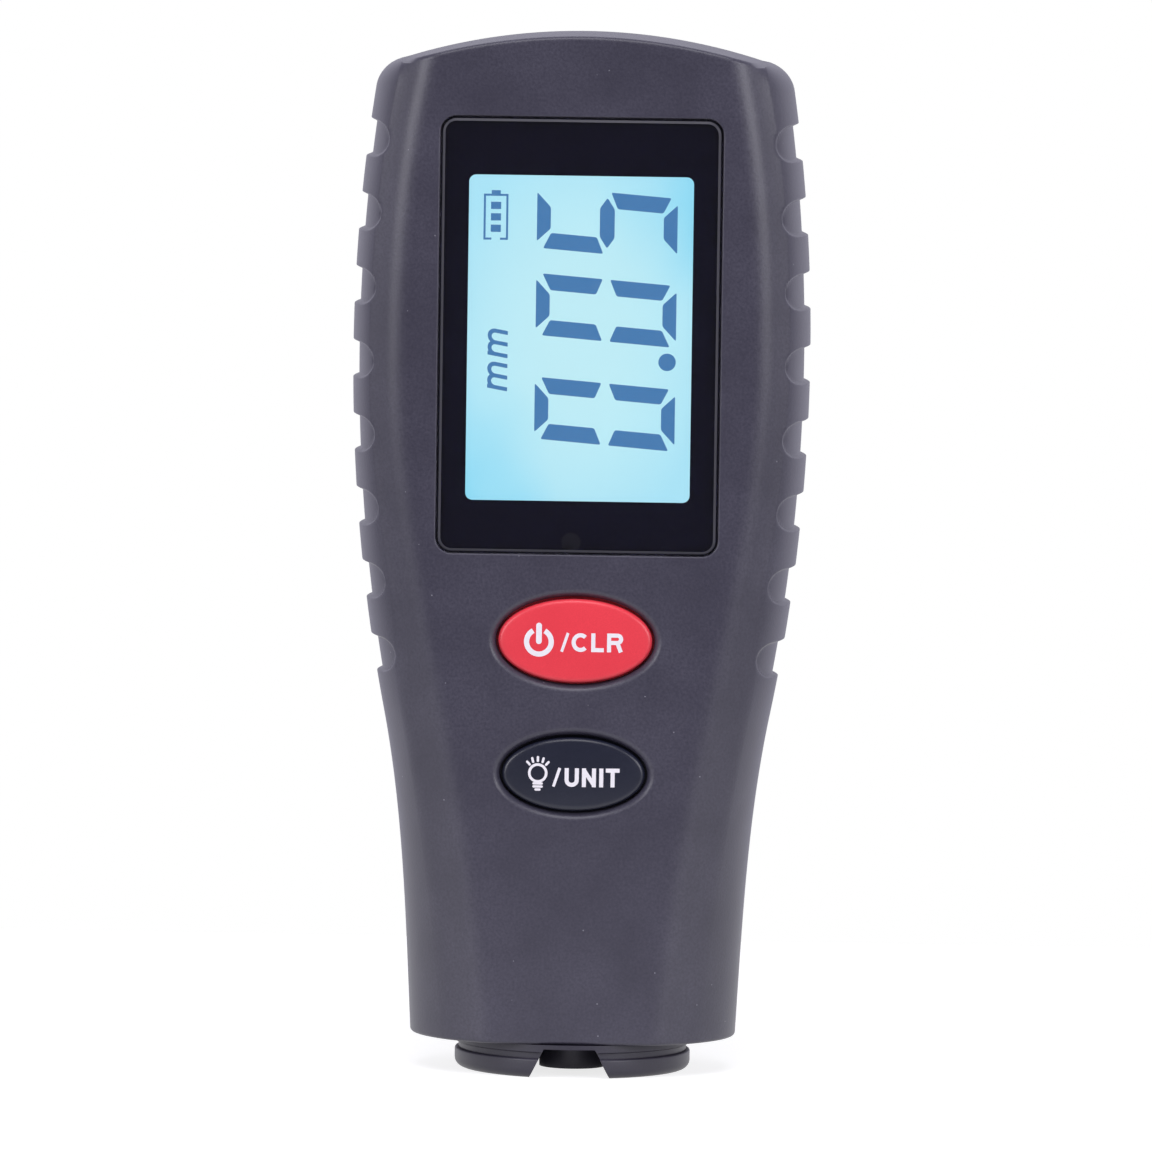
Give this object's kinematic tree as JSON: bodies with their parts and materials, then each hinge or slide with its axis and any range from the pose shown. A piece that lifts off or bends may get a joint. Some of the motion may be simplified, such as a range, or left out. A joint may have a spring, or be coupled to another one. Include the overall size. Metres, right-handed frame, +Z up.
{
  "type": "coating thickness gauge",
  "caption": "Handheld coating thickness gauge: tapered moulded housing with grip pockets, backlit display, oval keys and a sprung probe in a notched collar.",
  "frame": {"origin": "on the foot plane, under the axis of the probe collar", "axes": "+Z up along the housing, -Y out of the front panel, +X to the right seen from the front"},
  "size_m": [0.0484, 0.0248, 0.11],
  "materials": {
    "shell_abs": "fine moulded texture, dark grey",
    "window_acrylic": "clear acrylic with a dark printed back",
    "tape_foam": "thin die-cut adhesive",
    "display_glass": "polished glass",
    "light_guide": "clear acrylic light guide",
    "contact_rubber": "striped silicone",
    "board_laminate": "green solder mask",
    "chip_epoxy": "moulded epoxy",
    "crystal_can": "plain steel can",
    "capacitor_ceramic": "fired ceramic",
    "red_key": "satin red",
    "dark_key": "satin dark blue grey",
    "switch_nylon": "moulded nylon",
    "plunger_nylon": "moulded nylon",
    "collar_pom": "smooth dark moulding",
    "guide_aluminium": "turned",
    "probe_sheath": "smooth dark moulding",
    "tip_metal": "polished hard metal",
    "ferrite": "pressed ferrite",
    "winding": "enamelled copper wire",
    "spring_steel": "bright drawn wire",
    "cell_jacket": "printed sleeve, left plain",
    "plated_steel": "nickel plate",
    "screw_steel": "zinc plate"
  },
  "bodies": {
    "housing": {"front_housing": "shell_abs", "rear_housing": "shell_abs", "display_window": "window_acrylic", "window_tape": "tape_foam", "lcd_glass": "display_glass", "lcd_backlight": "light_guide", "lcd_contact_strips": "contact_rubber", "main_board": "board_laminate", "microcontroller": "chip_epoxy", "crystal": "crystal_can", "capacitors": "capacitor_ceramic", "power_switch": "switch_nylon", "unit_switch": "switch_nylon", "probe_collar": "collar_pom", "probe_guide": "guide_aluminium", "probe_spring": "spring_steel", "cell_left": "cell_jacket", "cell_right": "cell_jacket", "bridge_plate": "plated_steel", "terminal_plates": "plated_steel", "contact_springs": "spring_steel", "housing_screws": "screw_steel", "board_screws": "screw_steel"},
    "power_button": {"power_key": "red_key", "power_switch_plunger": "plunger_nylon"},
    "unit_button": {"unit_key": "dark_key", "unit_switch_plunger": "plunger_nylon"},
    "probe": {"probe_body": "probe_sheath", "probe_tip": "tip_metal", "probe_core": "ferrite", "probe_coil": "winding"},
    "door": {"battery_door": "shell_abs"}
  },
  "joints": [
    {"name": "power_press", "type": "slide", "parent": "housing", "child": "power_button", "axis": [0, 1, 0], "range_m": [0, 0.0006], "stiffness_N_per_m": 400},
    {"name": "unit_press", "type": "slide", "parent": "housing", "child": "unit_button", "axis": [0, 1, 0], "range_m": [0, 0.0006], "stiffness_N_per_m": 400},
    {"name": "probe_slide", "type": "slide", "parent": "housing", "child": "probe", "axis": [0, 0, 1], "range_m": [-0.0005, 0.0015], "stiffness_N_per_m": 200, "springref_m": -0.0015, "deforming": ["probe_spring"]},
    {"name": "door_hinge", "type": "hinge", "parent": "housing", "child": "door", "pos_m": [0, 0.012, 0.0975], "axis": [1, 0, 0], "range_deg": [0, 70]}
  ]
}
